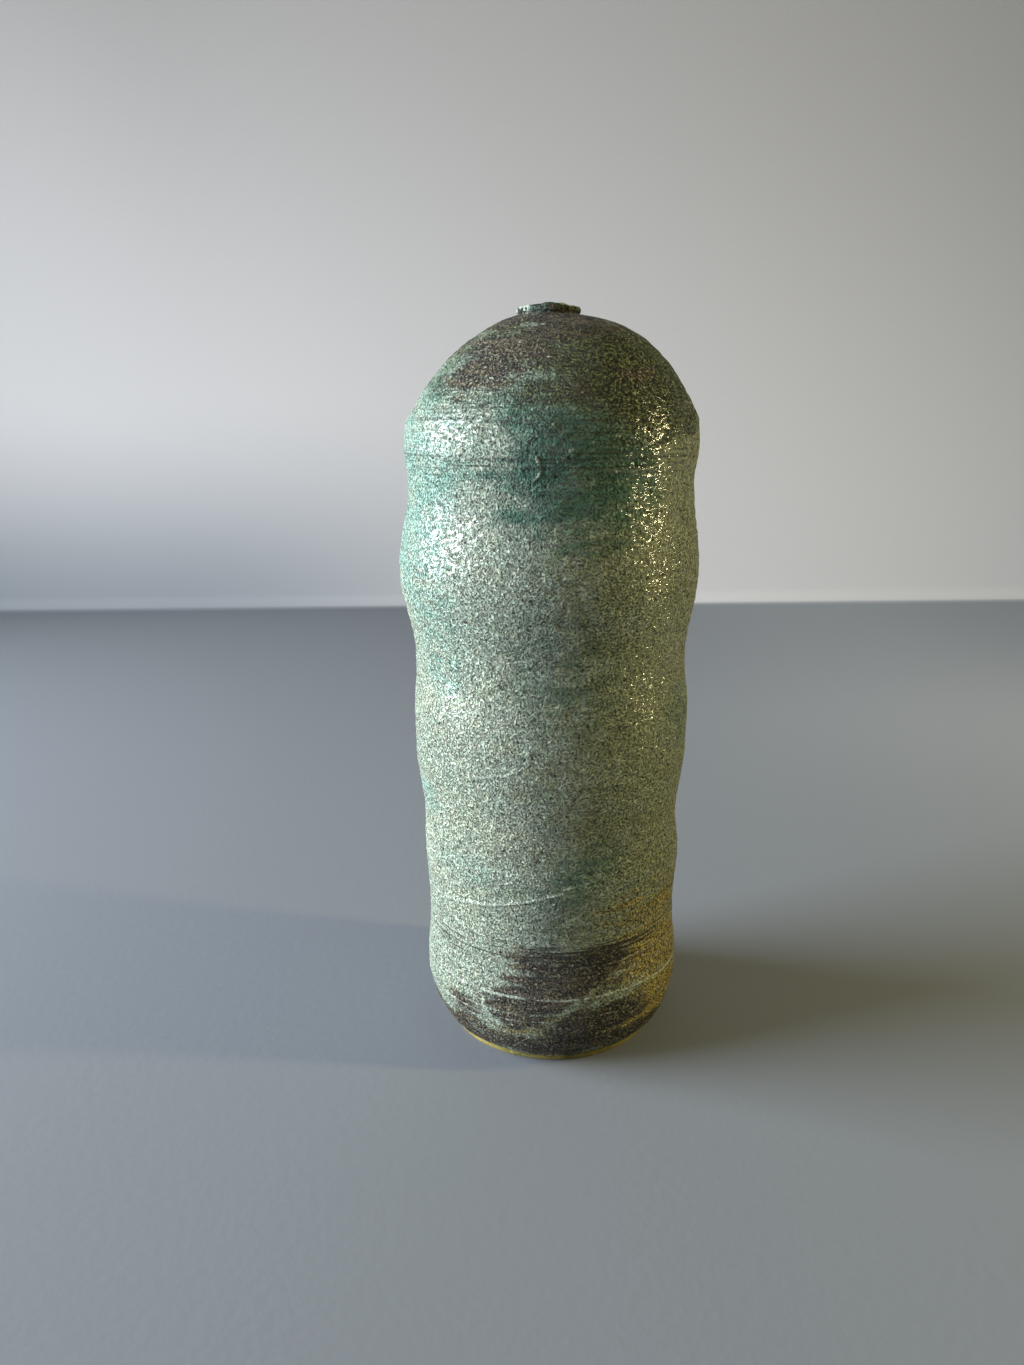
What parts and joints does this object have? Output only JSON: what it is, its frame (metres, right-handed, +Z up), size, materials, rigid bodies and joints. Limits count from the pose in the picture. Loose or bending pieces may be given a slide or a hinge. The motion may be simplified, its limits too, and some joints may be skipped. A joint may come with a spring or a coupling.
{
  "type": "raku vase",
  "caption": "Tall hand-thrown raku bottle vase: rippled cylinder, collared-in dome, small raised mouth ring and bare turned foot, under a crusted copper glaze.",
  "frame": {"origin": "centre of the face that the vase stands on, under the centre of its widest ring", "axes": "+Z up through the mouth; -Y towards the side that the picture shows, +X to its right"},
  "size_m": [0.1192, 0.1192, 0.2946],
  "materials": {
    "bare_clay": "bare grogged clay, ochre, matt and gritty",
    "smoked_clay": "smoked grogged clay under the glaze, matt",
    "copper_glaze": "crusted and pitted copper glaze, sage to turquoise with smoked patches, broken gloss",
    "lining_glaze": "thin poured glaze, satin"
  },
  "bodies": {
    "root": {"foot_ring": "bare_clay", "lower_section": "smoked_clay", "upper_section": "smoked_clay", "shoulder_dome": "smoked_clay", "mouth_ring": "smoked_clay", "glaze_coat": "copper_glaze", "glaze_lining": "lining_glaze"}
  },
  "joints": []
}
